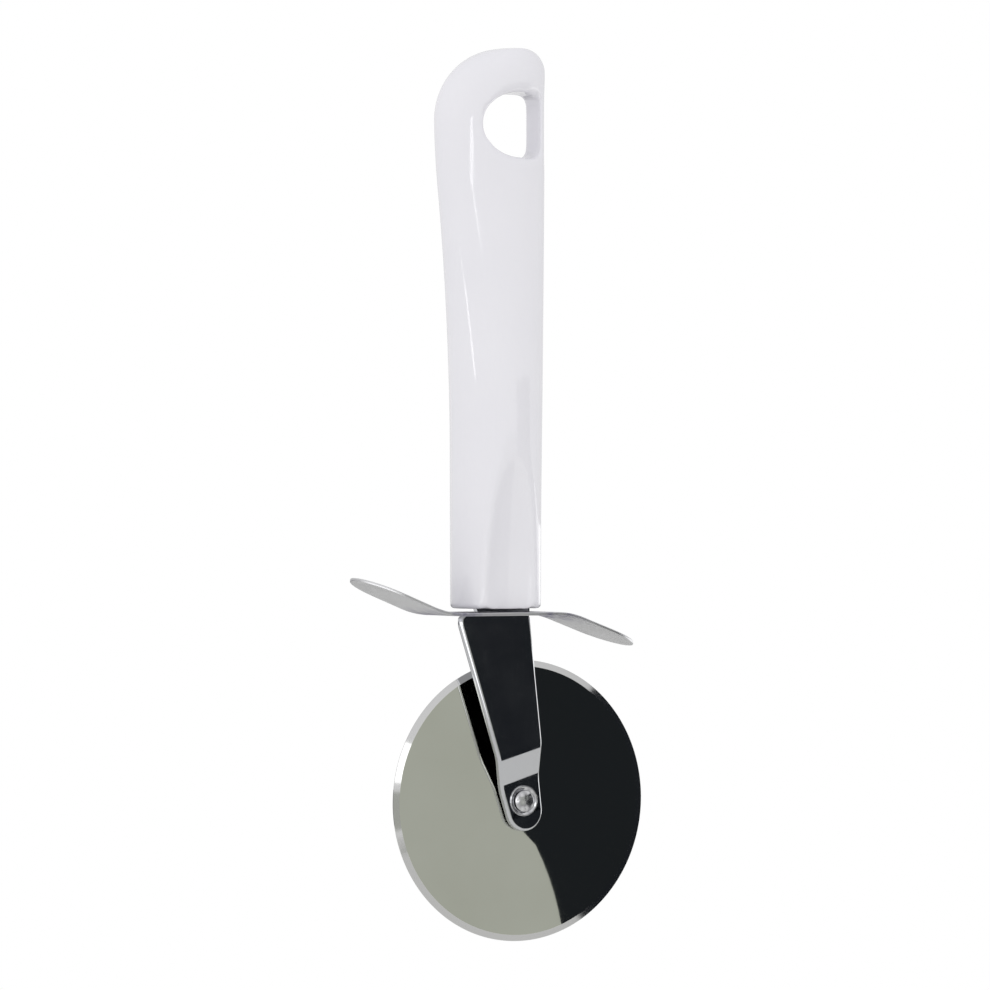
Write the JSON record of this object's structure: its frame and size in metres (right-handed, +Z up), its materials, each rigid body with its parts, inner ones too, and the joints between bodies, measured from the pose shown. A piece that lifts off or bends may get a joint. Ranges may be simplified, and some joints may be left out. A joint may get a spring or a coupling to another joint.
{
  "type": "pastry cutter wheel",
  "caption": "Pastry cutter wheel: a polished disc blade turning on a cranked steel arm, with an S-shaped finger guard and a moulded handle with a hanging hole.",
  "frame": {"origin": "centre of the hanging hole through the handle's head, on the handle's middle plane", "axes": "+Z up along the handle, +X towards the handle's straight edge, -Y towards the side the arm and the rivet's peened head are seen from, axle along Y"},
  "size_m": [0.0773, 0.0206, 0.2057],
  "materials": {
    "handle_plastic": "glossy moulded off-white",
    "arm_steel": "bright steel with fine lengthwise brushing",
    "guard_steel": "satin",
    "wheel_steel": "mirror polished with a ground edge",
    "rivet_steel": "bright, hammered head",
    "weld_steel": "as welded"
  },
  "bodies": {
    "holder": {"handle": "handle_plastic", "arm_and_tang": "arm_steel", "finger_guard": "guard_steel", "guard_weld_left": "weld_steel", "guard_weld_right": "weld_steel", "axle_rivet": "rivet_steel", "front_washer": "rivet_steel", "rear_washer": "rivet_steel"},
    "wheel": {"cutting_wheel": "wheel_steel"}
  },
  "joints": [
    {"name": "wheel_spin", "type": "hinge", "parent": "holder", "child": "wheel", "pos_m": [0.0066, 0.0045, -0.15547], "axis": [0, 1, 0], "continuous": true}
  ]
}
